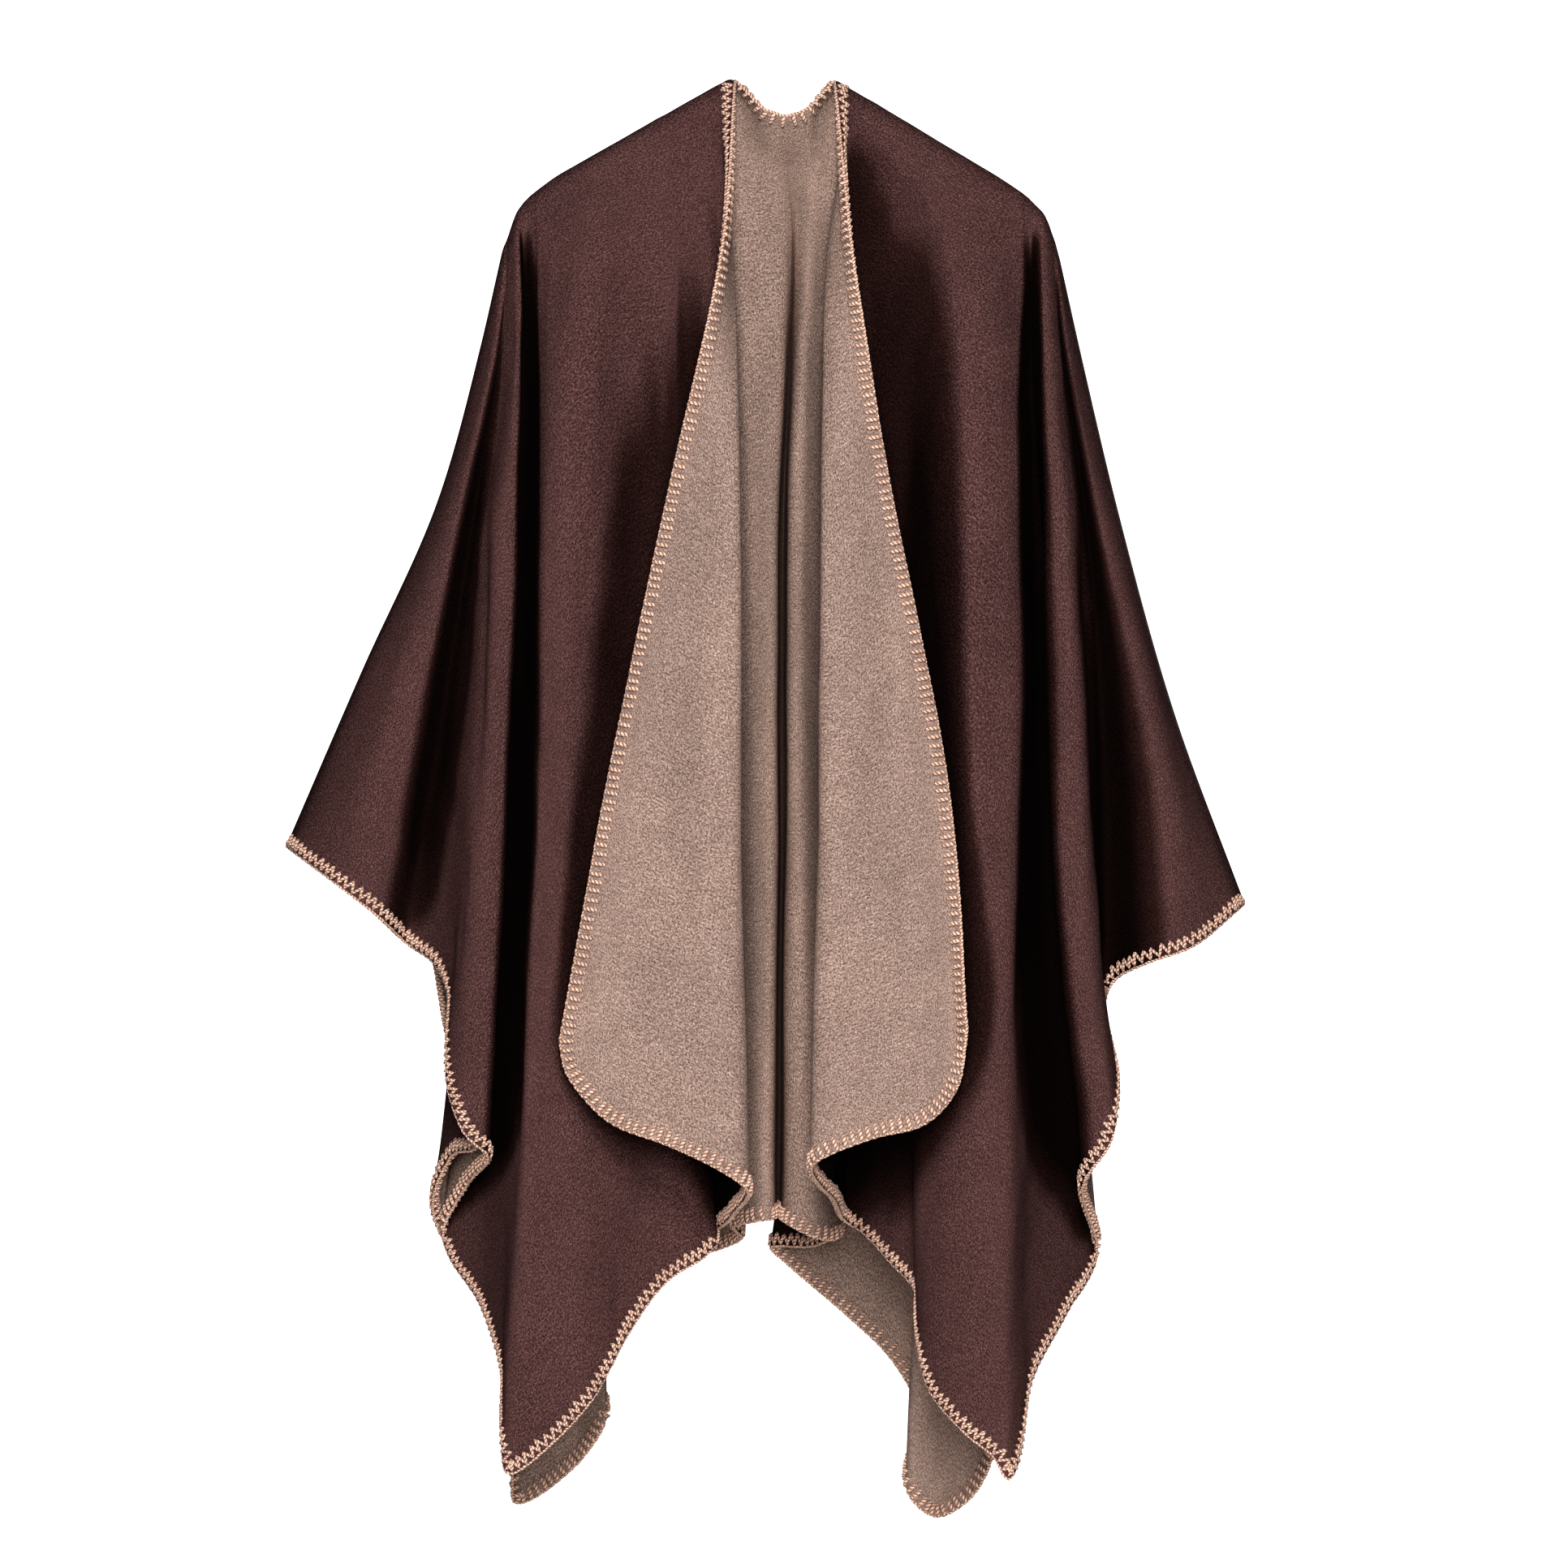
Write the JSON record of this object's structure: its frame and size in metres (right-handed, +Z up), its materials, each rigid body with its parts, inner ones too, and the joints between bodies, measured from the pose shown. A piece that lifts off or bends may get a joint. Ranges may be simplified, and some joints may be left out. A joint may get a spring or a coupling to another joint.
{
  "type": "poncho",
  "caption": "Open-front blanket poncho of double-faced cloth, worn filled out, with both front edges folded outward and a stitched edge all round.",
  "frame": {"origin": "the neck rest: on the centre line, level with the neck ends of the shoulder fold, in the plane of that fold", "axes": "+Z up as worn; the open front faces -Y; +X is to the right of someone who looks at the front"},
  "size_m": [0.6391, 0.3305, 0.961],
  "materials": {
    "cloth": "brushed nap, matte"
  },
  "bodies": {
    "root": {"front_left": "cloth", "front_right": "cloth", "back": "cloth"}
  },
  "joints": []
}
